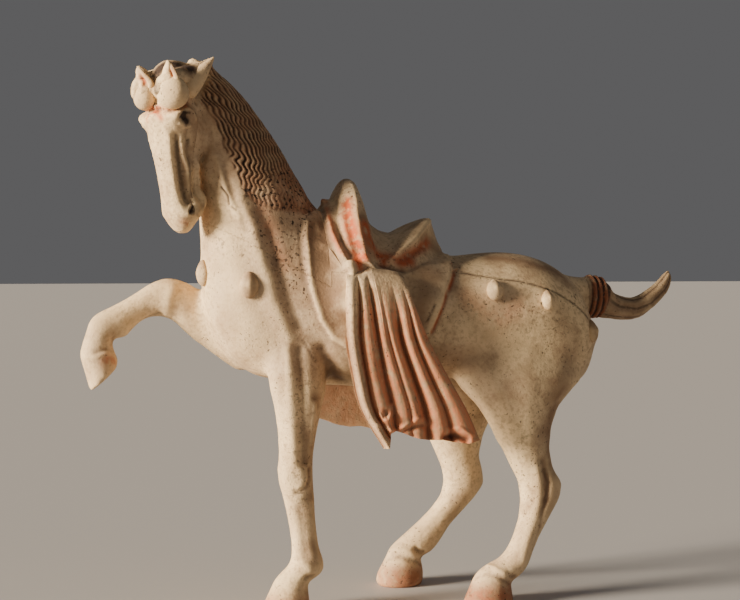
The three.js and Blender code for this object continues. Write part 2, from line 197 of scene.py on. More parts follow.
def neighbour_mean(points, ends):
    a, b = ends
    count = np.bincount(a, minlength=len(points)) + np.bincount(b, minlength=len(points))
    sums = [
        np.bincount(a, points[b, k], len(points)) + np.bincount(b, points[a, k], len(points))
        for k in range(points.shape[1])
    ]
    return np.stack(sums, axis=1) / np.maximum(count, 1)[:, None]


def rubbed(values, ends, share, rounds):
    for _ in range(rounds):
        values = values + share * (neighbour_mean(values, ends) - values)
    return values


def rub_smooth(piece, softness, rounds):
    """Smooths the skin where softness is near 1. What it takes off broadly it puts back."""
    points = drawn_points(piece)
    ends = edge_ends(piece)
    share = RUB_SHARE * softness[:, None]
    smooth = rubbed(points, ends, share, rounds)
    place_points(piece, smooth + rubbed(points - smooth, ends, share, rounds))


def ramp(values, low, high):
    share = np.clip((values - low) / (high - low), 0, 1)
    return share * share * (3 - 2 * share)


def mesh_tree(piece):
    return BVHTree.FromObject(piece, bpy.context.evaluated_depsgraph_get())


def seen_line(pixels):
    """The drawn points that picture pixels show on the smooth skin."""
    across = Vector((math.cos(VIEW_TURN), math.sin(VIEW_TURN), 0))
    away = Vector((-math.sin(VIEW_TURN), math.cos(VIEW_TURN), 0))
    line = []
    for u, v in pixels:
        ray = away * FOCAL + across * (u - PICTURE_MIDDLE) + Vector((0, 0, HORIZON - v))
        hit = skin.ray_cast(EYE, ray.normalized())[0]
        if hit is not None:
            line.append(in_drawing(hit))
    return np.array(line).reshape(-1, 3)


def nearness(points, line, width):
    """1 on a line through the given points, falling to 0 within about two widths."""
    near = np.all((points > line.min(0) - 3 * width) & (points < line.max(0) + 3 * width), axis=1)
    chosen = points[near]
    least = np.full(len(chosen), np.inf)
    for a, b in zip(line, line[1:] if len(line) > 1 else line):
        along = b - a
        share = np.clip((chosen - a) @ along / max(along @ along, 1e-9), 0, 1)
        least = np.minimum(least, ((chosen - a - share[:, None] * along) ** 2).sum(axis=1))
    result = np.zeros(len(points))
    result[near] = np.exp(-least / width**2)
    return result


def other_side(line):
    return line * (1, -1, 1)


def drawn_by_hand(points, strokes, opposite=None):
    """What strokes of (width in mm, amount, pixels) add at each point, and again on the opposite side."""
    total = np.zeros(len(points))
    for width, amount, pixels in strokes:
        line = seen_line(pixels)
        if len(line) == 0:
            continue
        total += amount * nearness(points, line, width)
        if opposite:
            total += amount * nearness(points, opposite(line), width)
    return total


def rim_points(piece):
    """Which points lie on the open rim of a piece."""
    edges = np.empty(len(piece.data.loops), dtype=np.int64)
    piece.data.loops.foreach_get("edge_index", edges)
    single = np.bincount(edges, minlength=len(piece.data.edges)) == 1
    on_rim = np.zeros(len(piece.data.vertices), dtype=bool)
    on_rim[edge_ends(piece)[:, single]] = True
    return on_rim


def away_from_rim(piece, reach):
    """0 on the rim of a piece, 1 from reach mm away on."""
    points = drawn_points(piece)
    rim = points[rim_points(piece)]
    if len(rim) == 0:
        return np.ones(len(points))
    tree = kdtree.KDTree(len(rim))
    for index, point in enumerate(rim):
        tree.insert(point, index)
    tree.balance()
    near = np.all((points > rim.min(0) - reach) & (points < rim.max(0) + reach), axis=1)
    result = np.ones(len(points))
    for index in np.flatnonzero(near):
        result[index] = min(tree.find(points[index])[2] / reach, 1)
    return result


def parted(piece, name, inside):
    """Parts the faces whose middles are inside from a piece. The two keep one common rim."""
    middles = np.empty(len(piece.data.polygons) * 3)
    piece.data.polygons.foreach_get("center", middles)
    middles = in_drawing(middles.reshape(-1, 3))
    activate(piece)
    bpy.context.tool_settings.mesh_select_mode = (False, False, True)
    bpy.ops.object.mode_set(mode="EDIT")
    bpy.ops.mesh.select_all(action="DESELECT")
    bpy.ops.object.mode_set(mode="OBJECT")
    piece.data.polygons.foreach_set("select", inside(*middles.T))
    bpy.ops.object.mode_set(mode="EDIT")
    bpy.ops.mesh.separate(type="SELECTED")
    bpy.ops.object.mode_set(mode="OBJECT")
    part = next(o for o in bpy.context.selected_objects if o != piece)
    part.name = name
    return part


def refine(piece):
    """Halves the grain of a piece and rubs the new skin, but not its rim."""
    activate(piece)
    bpy.ops.object.mode_set(mode="EDIT")
    bpy.ops.mesh.select_all(action="SELECT")
    bpy.ops.mesh.subdivide(number_cuts=1)
    bpy.ops.object.mode_set(mode="OBJECT")
    rub_smooth(piece, 1.0 - rim_points(piece), FINE_RUBS)


def raise_skin(piece, height):
    points = drawn_points(piece)
    fade = away_from_rim(piece, RIM_REACH)
    place_points(piece, points + outward(piece) * (height * fade)[:, None])


def set_marks(piece, **marks):
    """Adds to the shares from 0 to 1 that say where pigment, dirt, stains, painted shade and painted
    highlights lie.
    """
    for name, values in marks.items():
        mark = piece.data.attributes.get(name) or piece.data.attributes.new(name, "FLOAT", "POINT")
        stored = np.empty(len(piece.data.vertices), dtype=np.float32)
        mark.data.foreach_get("value", stored)
        mark.data.foreach_set("value", np.clip(stored + values, 0, 1).astype(np.float32))


def mark_relief(piece, highlight_share=1.0):
    """Stores the hollows, which get dirt and painted shade, and the ridges, which get a painted highlight.
    """
    points = drawn_points(piece)
    ends = edge_ends(piece)
    coarse = rubbed(points, ends, RUB_SHARE, RELIEF_ROUNDS)
    proud = ((points - coarse) * outward(piece)).sum(axis=1)
    proud = rubbed(proud[:, None], ends, 0.5, 1)[:, 0]
    set_marks(piece, hollow=ramp(-proud, *HOLLOW_DEPTH), ridge=highlight_share * ramp(proud, *RIDGE_HEIGHT))


def close_rim(piece):
    """Fills the open rims, which lie inside the clay, with flat faces."""
    before = len(piece.data.polygons)
    activate(piece)
    bpy.ops.object.mode_set(mode="EDIT")
    bpy.ops.mesh.select_all(action="SELECT")
    bpy.ops.mesh.fill_holes(sides=0)
    bpy.ops.object.mode_set(mode="OBJECT")
    smooth = np.arange(len(piece.data.polygons)) < before
    piece.data.polygons.foreach_set("use_smooth", smooth)
    piece.data.update()


def new_node(tree, kind, **settings):
    node = tree.nodes.new(kind)
    for key, value in settings.items():
        setattr(node, key, value)
    return node


def put(tree, socket, value):
    if isinstance(value, bpy.types.NodeSocket):
        tree.links.new(value, socket)
    else:
        socket.default_value = value


def blotches(tree, where, scale, low, high, detail):
    """A cloudy share from 0 to 1 that rises between two levels of a noise."""
    noise = new_node(tree, "ShaderNodeTexNoise")
    noise.inputs["Scale"].default_value = scale
    noise.inputs["Detail"].default_value = detail
    tree.links.new(where, noise.inputs["Vector"])
    level = new_node(tree, "ShaderNodeMapRange")
    tree.links.new(noise.outputs["Fac"], level.inputs["Value"])
    level.inputs["From Min"].default_value = low
    level.inputs["From Max"].default_value = high
    return level.outputs["Result"]


def times(tree, a, b):
    node = new_node(tree, "ShaderNodeMath", operation="MULTIPLY")
    put(tree, node.inputs[0], a)
    put(tree, node.inputs[1], b)
    return node.outputs[0]


def added(tree, a, b):
    node = new_node(tree, "ShaderNodeMath", operation="ADD")
    put(tree, node.inputs[0], a)
    put(tree, node.inputs[1], b)
    return node.outputs[0]


def coated(tree, share, under, over):
    node = new_node(tree, "ShaderNodeMix", data_type="RGBA")
    put(tree, node.inputs[0], share)
    put(tree, node.inputs[6], under)
    put(tree, node.inputs[7], over)
    return node.outputs[2]


ROUGHNESS = (0.66, 0.88)
SHINE = 0.35
GRIT_HEIGHT = 0.0009  # m
PIT_DEPTH = -1.6  # times the height of the grit


def slipped_clay(name, slip, stained, ground, pigment, dirt_and_shade, grit):
    """Worn slip over fired clay. Marks on the mesh say where pigment, stains, dirt, painted shade and
    painted highlights lie.
    """
    material = bpy.data.materials.new(name)
    material.use_nodes = True
    tree = material.node_tree
    shader = tree.nodes["Principled BSDF"]
    where = new_node(tree, "ShaderNodeTexCoord").outputs["Object"]

    clouds = [  # scale, two levels, detail, share, colour that is laid over
        (9, 0.38, 0.62, 6, 0.85, stained),
        (38, 0.46, 0.66, 8, 0.55, ground),
        (230, 0.48, 0.68, 5, 0.50, ground),
    ]
    colour = slip
    for scale, low, high, detail, share, over in clouds:
        cloud = blotches(tree, where, scale, low, high, detail)
        colour = coated(tree, times(tree, cloud, share), colour, over)
    marks = [  # mark, its share or the scale and levels of the blotches that break it up, colour
        # The stain, hollow and dark marks hold painted shade in places, and the ridge mark holds painted
        # highlights.
        ("stain", (30, 0.25, 0.52), ground),
        ("ridge", 0.45, slip),
        ("red", (110, 0.24, 0.52), pigment),
        ("hollow", 0.35, dirt_and_shade),
        ("dark", (160, 0.20, 0.42), dirt_and_shade),
        ("fleck", (250, 0.57, 0.62), dirt_and_shade),
    ]
    for kind, share, over in marks:
        if isinstance(share, tuple):
            share = blotches(tree, where, *share, 6)
        mark = new_node(tree, "ShaderNodeAttribute", attribute_name=kind).outputs["Fac"]
        colour = coated(tree, times(tree, mark, share), colour, over)
    flecks = blotches(tree, where, 300, 0.65, 0.69, 2)
    specks = times(tree, flecks, blotches(tree, where, 24, 0.44, 0.62, 3))
    colour = coated(tree, times(tree, specks, 0.85), colour, dirt_and_shade)
    tree.links.new(colour, shader.inputs["Base Color"])
    rough = new_node(tree, "ShaderNodeMapRange")
    tree.links.new(blotches(tree, where, 60, 0.3, 0.7, 6), rough.inputs["Value"])
    rough.inputs["To Min"].default_value, rough.inputs["To Max"].default_value = ROUGHNESS
    tree.links.new(rough.outputs["Result"], shader.inputs["Roughness"])
    shader.inputs["Specular IOR Level"].default_value = SHINE
    grain = times(tree, blotches(tree, where, 420, 0.2, 0.8, 5), 0.5)
    height = added(tree, grain, blotches(tree, where, 70, 0.2, 0.8, 5))
    height = added(tree, height, times(tree, specks, PIT_DEPTH))
    bump = new_node(tree, "ShaderNodeBump")
    bump.inputs["Strength"].default_value = grit
    bump.inputs["Distance"].default_value = GRIT_HEIGHT
    tree.links.new(height, bump.inputs["Height"])
    tree.links.new(bump.outputs["Normal"], shader.inputs["Normal"])
    return material


def set_in_frame(piece, material):
    piece.data.materials.clear()
    piece.data.materials.append(material)
    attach(piece, "root")
    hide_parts("horse")


CREAM = (0.82, 0.61, 0.35, 1)
TAN = (0.51, 0.365, 0.235, 1)
BROWN = (0.28, 0.17, 0.095, 1)
TERRACOTTA = (0.48, 0.105, 0.035, 1)
UMBER = (0.045, 0.026, 0.017, 1)
body_clay = slipped_clay("body_clay", CREAM, TAN, BROWN, TERRACOTTA, UMBER, 0.55)

activate(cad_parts["horse"])
bpy.ops.object.duplicate()
body = bpy.context.object
body.name = "body"
bpy.ops.object.mode_set(mode="EDIT")
bpy.ops.mesh.select_all(action="SELECT")
bpy.ops.mesh.remove_doubles(threshold=MERGED)
bpy.ops.object.mode_set(mode="OBJECT")
front, rear = CLOTH_LENGTH
low, high = CLOTH_HEIGHT
for side in (-1, 1):
    middle = frame_point((front + rear) / 2, side * (CLOTH_INNER + CUTTER_DEPTH / 2), (low + high) / 2)
    bpy.ops.mesh.primitive_cube_add(size=1, location=middle)
    cutter = bpy.context.object
    cutter.scale = ((rear - front) / 1000, CUTTER_DEPTH / 1000, (high - low) / 1000)
    bpy.context.view_layer.update()
    apply_modifier(body, "BOOLEAN", object=cutter, operation="DIFFERENCE", solver="EXACT")
    bpy.data.objects.remove(cutter)

apply_modifier(body, "REMESH", mode="VOXEL", voxel_size=SKIN_GRAIN / 1000, use_smooth_shade=True)
x, y, z = drawn_points(body).T
rub_smooth(body, np.ones(len(x)), SKIN_RUBS[0])
on_trunk = ramp(z, *TRUNK_LOW) * ramp(x, *TRUNK_FRONT) * (1 - ramp(x, *TRUNK_REAR))
on_saddle = ramp(z, *SADDLE_LOW) * ramp(x, *SADDLE_FRONT) * (1 - ramp(x, *SADDLE_REAR))
on_head = ramp(-x, *HEAD_REAR) * ramp(z, *HEAD_LOW)
rub_smooth(body, np.clip(1 - SADDLE_KEPT * on_saddle - HEAD_KEPT * on_head, 0, 1), SKIN_RUBS[1])
rub_smooth(body, np.clip(on_trunk - on_saddle - on_head, 0, 1), SKIN_RUBS[2])
skin = mesh_tree(body)

HEAD_MIDDLE = (-244.5, -35)  # mm, x and y of the upright axis that the head turns on
HEAD_TURN = math.radians(37)
HEAD_SIDE = np.array((math.sin(HEAD_TURN), -math.cos(HEAD_TURN), 0))
PIXEL = 1.14  # mm at the horse
PUSHES = [  # reach in mm, pixels to the right, pixels down, at a pixel
    (14, 4, 4, (164, 60)),
    (20, 5, 2, (162, 90)),
    (12, 1, 7, (137, 62)),
    (16, 2, 2, (136, 95)),
    (13, 8, 2, (197, 196)),
    (12, 6, 0, (192, 214)),
    (11, 5, 0, (196, 206)),
    (9, 3, 2, (142, 117)),
    (12, 8, 0, (191, 168)),
    (9, 5, 0, (193, 181)),
]
BOTH_SIDES = [  # width in mm, rise in mm, pixels
    (3.5, 1.4, [
        (307, 222), (307, 240), (309, 262), (311, 282), (316, 300), (323, 320), (334, 336), (345, 342),
    ]),
    (12, -1.6, [(318, 232), (321, 262), (326, 295), (337, 322)]),
    (3.0, -1.2, [(450, 258), (454, 265), (455, 275), (452, 284), (448, 293), (442, 312), (433, 332)]),
    (9, -5, [(322, 350), (330, 366), (334, 380)]),
    (7, -1.8, [(262, 212), (273, 245), (282, 275), (289, 300), (298, 325)]),
    (10, 3.6, [(240, 200), (253, 230), (262, 260), (268, 280), (272, 300), (281, 320), (289, 338)]),
    (5, 2.4, [(216, 157), (219, 165), (222, 175), (226, 187), (231, 200), (240, 216)]),
    (4, -1.8, [(224, 165), (228, 180), (233, 195), (240, 212), (248, 230)]),
    (9, -2.2, [(268, 232), (274, 262)]),
    (4.0, 4.0, [(326, 203), (329, 220), (332, 233), (338, 246), (343, 256), (348, 268)]),
    (4.5, -2.6, [(335, 200), (337, 220), (342, 240), (350, 255)]),
    (3.0, 2.2, [(352, 185), (356, 200), (357, 215), (360, 235), (363, 250), (366, 260)]),
    (5.0, -3.0, [(344, 200), (349, 222), (353, 240), (357, 253)]),
    (3.2, 2.8, [(429, 221), (422, 230), (414, 240), (405, 248), (397, 256), (390, 262)]),
    (5.0, -2.0, [(426, 240), (416, 250), (406, 258)]),
    (3.0, -2.0, [(378, 266), (390, 270), (403, 272), (414, 269), (427, 263)]),
    (5.0, 6.0, [(352, 266), (353, 278)]),
    (17, -7.5, [(366, 285), (374, 310), (386, 340)]),
    (4.0, 5.5, [(362, 256), (367, 265), (373, 273)]),
]
ONE_SIDE = [  # the legs, and the crown as the camera sees it
    (6, 2.4, [(287, 350), (290, 385), (292, 430), (294, 462)]),
    (5.5, -2.1, [(299, 350), (303, 385), (304, 430), (304, 462)]),
    (3, 1.5, [(315, 405), (313, 425), (312, 442)]),
    (7, 1.8, [(301, 470), (304, 478), (303, 485)]),
    (3, -1.8, [(296, 493), (302, 491), (306, 486), (309, 479), (309, 470)]),
    (5, -1.0, [(300, 508), (303, 525), (306, 558)]),
    (5, 1.2, [(311, 505), (316, 540), (320, 558)]),
    (5, 1.4, [(303, 563), (311, 570)]),
    (4, -0.9, [(268, 590), (285, 582), (305, 580)]),
    (11, 2.0, [(460, 380), (480, 400), (490, 418), (498, 438)]),
    (6, -1.8, [(542, 462), (546, 480), (546, 498)]),
    (7, 1.8, [(538, 470), (540, 495), (532, 520), (526, 545), (524, 560)]),
    (4, -0.8, [(391, 552), (400, 557), (410, 561)]),
    (4, -1.4, [(416, 549), (419, 556)]),
    (3.5, -2.6, [(307, 578), (315, 576), (323, 573)]),
    (3.0, -2.6, [(417, 550), (424, 552), (431, 552)]),
    (3.0, 1.9, [(390, 552), (400, 548), (410, 552), (419, 557)]),
    (2.6, -1.6, [(388, 559), (400, 557), (412, 560), (421, 565)]),
    (3.0, 2.1, [(479, 569), (488, 566), (498, 570), (508, 575)]),
    (2.6, -1.7, [(477, 577), (489, 574), (501, 578), (509, 583)]),
    (3.0, -2.6, [(508, 575), (515, 577), (522, 574)]),
    (2.6, -1.7, [(545, 470), (549, 483), (546, 500), (542, 512), (540, 530), (533, 550), (528, 569)]),
    (7, 1.8, [(172, 290), (168, 300), (166, 312)]),
    (4, -2.2, [(160, 314), (150, 317), (141, 323), (131, 331)]),
    (2.8, 1.8, [(85, 357), (97, 357), (108, 354), (116, 353)]),
    (3, 2.5, [(124, 337)]),
    (3, -1.2, [(96, 352), (106, 349), (114, 348)]),
    (5.5, 4.0, [(190, 90), (195, 78), (203, 68), (212, 61)]),
    (3.6, -4.0, [(216, 67), (209, 76), (202, 88), (197, 102)]),
    (3.0, -3.0, [(178, 82), (184, 84), (188, 90)]),
    (3.0, -3.0, [(158, 82), (163, 79), (170, 79), (178, 81)]),
    (3.0, -2.0, [(134, 88), (140, 86), (147, 86)]),
]
ON_HEAD = [  # cheeks, brow and jaw
    (4.5, -4.2, [(176, 137), (176, 150), (178, 165), (181, 182), (185, 200)]),
    (2.8, 2.2, [(181, 140), (183, 155), (185, 170), (187, 185), (190, 203)]),
    (3.6, -2.8, [(187, 132), (188, 150), (189, 165), (190, 180), (192, 196), (194, 207)]),
    (3.0, 1.4, [(193, 178), (194, 192), (197, 203)]),
    (4.0, 1.6, [(171, 138), (172, 150), (173, 165), (175, 182), (180, 203), (184, 214)]),
    (3.6, 2.4, [(176, 117), (181, 111), (187, 109), (192, 112), (195, 119)]),
    (3.0, -2.4, [(157, 80), (156, 90), (154, 100), (156, 108)]),
    (3.0, -2.6, [(158, 109), (164, 111), (172, 110), (180, 108), (188, 103)]),
    (3.0, -2.4, [(154, 109), (148, 111), (142, 111)]),
    (3.6, 1.6, [(160, 118), (168, 116), (176, 115)]),
    (9.0, 2.5, [(203, 138), (202, 150)]),
    (3.4, -2.0, [(211, 132), (210, 142), (207, 152), (203, 160)]),
]
PAD_EDGE = [
    (313, 210), (306, 219), (303, 232), (304, 246), (306, 262), (308, 281),
    (313, 299), (320, 320), (332, 339), (346, 348), (380, 357), (412, 349),
    (430, 333), (438, 315), (444, 296), (449, 284), (452, 271), (448, 258),
]
PAD_TOP = [(90, 520), (-60, 520)]  # mm, x and z above the pad
PAD_RISE = 3.2  # mm that the saddle pad stands above the trunk
PAD_HIGH = 470  # mm up, from where the rise fades in downwards
PAD_FADE = 60  # mm
PAD_RUBS = 2
HOOF_TOP = (10, 36)  # mm up, where the pinkish clay of the hooves ends
HIND_PART = (0, 60)  # mm of x, from where the hooves are pinker
RED_PAINT = [  # width in mm, share, pixels
    (2.4, 1.0, [(449, 258), (453, 265), (454, 275), (451, 284), (447, 293), (441, 312), (432, 332)]),
    (8.0, 1.3, [(346, 202), (347, 215), (351, 230), (355, 245), (360, 258)]),
    (7.0, 1.0, [(365, 225), (368, 240), (375, 255), (382, 263)]),
    (6.0, 0.7, [(385, 257), (398, 264), (410, 264)]),
    (7.0, 0.9, [(402, 260), (414, 252), (426, 243)]),
    (3.0, 0.8, [(327, 203), (330, 220), (332, 232), (337, 246), (343, 257)]),
    (5.0, 1.0, [(357, 262), (361, 270)]),
    (9.0, 0.25, [(262, 210), (275, 240), (285, 265)]),
    (14.0, 0.25, [(470, 300), (500, 320), (520, 305)]),
    (7.0, 0.7, [(107, 361), (113, 362)]),
]
DARK_PAINT_AND_SHADOW = [
    (4, 0.8, [(310, 213), (318, 206), (326, 201)]),
    (2.0, 0.5, [(298, 225), (299, 250), (302, 280)]),
    (2.4, 0.7, [(380, 267), (390, 270), (403, 272)]),
    (4.0, 0.4, [(398, 263), (412, 256), (422, 250)]),
    # painted shadow under the belly
    (8, 0.4, [(328, 376), (336, 379), (345, 381)]),
]
# Brown stains on the clay; the strokes noted below are painted shade and painted shadow instead.
BROWN_STAINS_AND_SHADE = [
    # painted shade on the right of the rump, which faces away from the light
    (20, 0.5, [(556, 320), (572, 350), (566, 380)]),
    (17, 1.0, [(556, 390), (550, 420), (552, 445), (545, 500)]),
    (14, 0.6, [(525, 385), (528, 400)]),
    (14, 1.0, [(490, 258), (530, 264), (560, 274)]),
    (12, 1.0, [(314, 400), (311, 440), (312, 500), (318, 550)]),
    # painted shade on the front of the saddle pad, which faces away from the light
    (20, 1.0, [(318, 235), (322, 270), (332, 310)]),
    # painted shade on the rear of the saddle pad
    (16, 0.8, [(425, 275), (420, 300), (420, 320)]),
    (14, 0.35, [(372, 240), (385, 250), (400, 250)]),
    (12, 0.9, [(360, 190), (364, 220), (368, 245)]),
    (12, 0.8, [(418, 232), (425, 240), (436, 252)]),
    (22, 0.6, [(262, 205), (285, 240), (290, 290)]),
    (12, 0.5, [(218, 150), (228, 168)]),
    # painted shadow under the belly and cast by the cloth on the flank
    (30, 0.5, [(330, 360), (400, 370), (470, 360)]),
    # painted shade on the front of the saddle pad
    (14, 1.0, [(322, 228), (328, 270), (338, 315)]),
    # painted shadow under the belly
    (10, 1.0, [(332, 362), (338, 380)]),
]
# Painted light: cream laid on the chest, the rump and the foreleg's left plane, where the light from the
# left falls fullest.
PAINTED_LIGHT = [
    (26, 1.0, [(480, 305), (500, 330), (525, 345)]),
    (26, 1.0, [(225, 240), (235, 300), (255, 340)]),
    (12, 0.8, [(285, 390), (286, 450), (286, 520)]),
]
FLECKED = [
    (26, 1.0, [(262, 190), (285, 200), (295, 215)]),
    (18, 0.8, [(262, 232), (282, 255), (292, 285)]),
    (8, 0.6, [(299, 225), (300, 255), (304, 290), (318, 325)]),
    (12, 0.5, [(205, 230), (230, 250)]),
    (9, 0.7, [(150, 112), (166, 106), (182, 102)]),
    (20, 0.5, [(300, 380), (298, 440), (300, 500)]),
    (20, 0.4, [(470, 300), (520, 320), (560, 330)]),
    (14, 0.5, [(380, 262), (400, 258), (420, 250)]),
]


def within(x, z, corners):
    """Which places of a side view lie inside a closed line."""
    inside = np.zeros(len(x), dtype=bool)
    for (x1, z1), (x2, z2) in zip(corners, np.roll(corners, -1, axis=0)):
        crosses = (z1 > z) != (z2 > z)
        inside ^= crosses & (x < (x2 - x1) * (z - z1) / (z2 - z1 + 1e-12) + x1)
    return inside


def before_neck(x, y):
    """How far in front of the poll a place lies, along the way the head faces."""
    return -(x - HEAD_MIDDLE[0]) * math.cos(HEAD_TURN) - (y - HEAD_MIDDLE[1]) * math.sin(HEAD_TURN)


def other_cheek(line):
    across = (line - (*HEAD_MIDDLE, 0)) @ HEAD_SIDE
    return line - 2 * across[:, None] * HEAD_SIDE


points = drawn_points(body)
height = drawn_by_hand(points, BOTH_SIDES, other_side) + drawn_by_hand(points, ONE_SIDE)
height += drawn_by_hand(points, ON_HEAD, other_cheek)
red = drawn_by_hand(points, RED_PAINT, other_side)
dark = drawn_by_hand(points, DARK_PAINT_AND_SHADOW, other_side)
stain = drawn_by_hand(points, BROWN_STAINS_AND_SHADE, other_side)
pale = drawn_by_hand(points, PAINTED_LIGHT, other_side)
pad = np.vstack([seen_line(PAD_EDGE)[:, [0, 2]], PAD_TOP])
step = within(points[:, 0], points[:, 2], pad) * ramp(PAD_HIGH - points[:, 2], 0, PAD_FADE)
height += PAD_RISE * rubbed(step[:, None].astype(float), edge_ends(body), RUB_SHARE, PAD_RUBS)[:, 0]
points = points + outward(body) * height[:, None]
for reach, right, down, pixel in PUSHES:
    weight = nearness(points, seen_line([pixel]), reach)[:, None] * PIXEL
    points = points + weight * (right * math.cos(VIEW_TURN), right * math.sin(VIEW_TURN), -down)
place_points(body, points)
skin = mesh_tree(body)
hoof = (1 - ramp(points[:, 2], *HOOF_TOP)) * (0.45 + 0.55 * ramp(points[:, 0], *HIND_PART))
fleck = drawn_by_hand(points, FLECKED, other_side)
set_marks(body, red=red + 0.6 * hoof, dark=dark + 0.3 * hoof, stain=stain + 0.8 * hoof)
# The painted light goes into the same mark as the painted highlight on the ridges.
set_marks(body, ridge=pale, fleck=fleck)

POLL = -9  # mm before the axis of the head
THROAT_HEIGHT = 440  # mm up
THROAT = -180  # mm of x
NECK_FOOT = 340  # mm up at x 0, from where the foot rises by its slope towards the head
NECK_SLOPE = 0.55
WITHERS = -70  # mm of x
SEAT_HEIGHT = 396  # mm up
SEAT_LENGTH = (-78, 98)  # mm of x
DOCK = 282  # mm of x
DOCK_HEIGHT = 330  # mm up


def in_head(x, y, z):
    return (before_neck(x, y) > POLL) & (z > THROAT_HEIGHT) & (x < THROAT)


def in_neck(x, y, z):
    return (z > NECK_FOOT - NECK_SLOPE * x) & (x < WITHERS)


def in_saddle(x, y, z):
    return (z > SEAT_HEIGHT) & (x > SEAT_LENGTH[0]) & (x < SEAT_LENGTH[1])


def in_tail(x, y, z):
    return (x > DOCK) & (z > DOCK_HEIGHT)


head = parted(body, "head", in_head)
neck = parted(body, "neck", in_neck)
saddle = parted(body, "saddle", in_saddle)
tail = parted(body, "tail", in_tail)

STRAP_LINES = [
    (1.3, -0.8, [(452, 272), (465, 273), (480, 276), (500, 279), (518, 281), (535, 285), (548, 289)]),
    (1.3, -0.8, [(548, 289), (560, 295), (570, 301), (580, 309), (588, 318)]),
    (1.1, -0.5, [(303, 340), (309, 351), (316, 362)]),
    (1.2, -0.8, [(435, 305), (427, 322)]),
    (1.2, -0.5, [(522, 438), (528, 436)]),
]
points = drawn_points(body)
cuts = drawn_by_hand(points, STRAP_LINES, other_side)
raise_skin(body, cuts)
set_marks(body, dark=-1.1 * cuts)
mark_relief(body)
close_rim(body)
set_in_frame(body, body_clay)

# The neck: part of the same clay, with a combed mane laid along its crest on both sides. The hair was
# scored in wavy lines with a pointed stick, and its grooves still hold dark and maroon paint.
MANE_PITCH = 5.8  # mm between grooves
MANE_WAVE = 16  # mm from wave to wave
GROOVE_WIDTH = 1.15  # mm
GROOVE_DEPTH = 2.6  # mm
WAVE_HEIGHT = 1.7  # mm
COMBED_FROM = (554, 588)  # mm up at x 0, where the flecks give way to combed hair
COMBED_SLOPE = 0.45
MANE_EDGE = 5  # mm
MANE_FRONT = [
    (214, 62), (208, 77), (201, 88), (197, 101), (205, 112), (210, 120),
    (214, 130), (219, 138), (221, 150), (226, 156), (230, 165), (234, 175),
    (238, 185), (244, 197), (256, 207), (275, 213), (300, 216),
]
MANE_BACK = [(-40, 480), (-60, 700), (-205, 700)]  # mm, x and z outside the crest
NECK_CUTS = [
    (1.3, -1.2, [(221, 187), (225, 192), (228, 196), (229, 204)]),
    (1.2, -0.9, [(232, 207), (236, 210)]),
    (1.3, -0.9, [(200, 258), (215, 261), (232, 266), (245, 270), (262, 270)]),
    (2.5, -1.4, [(233, 292)]),
]


def comb_mane(piece):
    """Scores the waves of the mane, and marks its paint."""
    points = drawn_points(piece)
    x, y, z = points.T
    mane_front = seen_line(MANE_FRONT)[:, [0, 2]]
    corners = np.vstack([mane_front, MANE_BACK])
    flat = np.stack([x, 0 * y, z], axis=1)
    edge = nearness(flat, np.insert(mane_front, 1, 0, axis=1), MANE_EDGE)
    hair = within(x, z, corners) * (1 - edge)
    combed = hair * ramp(z - COMBED_SLOPE * x, *COMBED_FROM)
    across = x - 0.3 * np.abs(y) + 0.004 * np.clip(z - 500, 0, None) ** 2
    loose = 0.9 + 0.35 * np.sin(z / 9 + x / 14) + 0.25 * np.sin(x / 6 - z / 21)
    turn = 2 * math.pi * z / MANE_WAVE + 0.05 * x + 1.5 * np.sin(x / 13 + z / 40)
    across += WAVE_HEIGHT * loose * np.sin(turn)
    across += 1.3 * np.sin(z / 11 + x / 13) + 0.9 * np.sin(z / 23 - x / 8)
    from_groove = (np.mod(across / MANE_PITCH, 1) - 0.5) * MANE_PITCH
    groove = np.exp(-((from_groove / GROOVE_WIDTH) ** 2))
    worn = 0.85 + 0.3 * np.sin(x / 10 + z / 17) * np.sin(z / 7 - x / 19)
    raise_skin(piece, combed * (1.0 - GROOVE_DEPTH * groove * worn) - 0.7 * (hair - combed) * groove)
    dark = combed * (0.30 + 0.8 * groove * worn) + (hair - combed) * (0.2 * groove + 0.05)
    set_marks(piece, dark=dark, red=0.22 * hair, stain=0.95 * hair, fleck=hair - combed)


refine(neck)
comb_mane(neck)
points = drawn_points(neck)
cuts = drawn_by_hand(points, NECK_CUTS, other_side)
raise_skin(neck, cuts)
set_marks(neck, dark=-0.8 * cuts)
mark_relief(neck)
close_rim(neck)
set_in_frame(neck, body_clay)

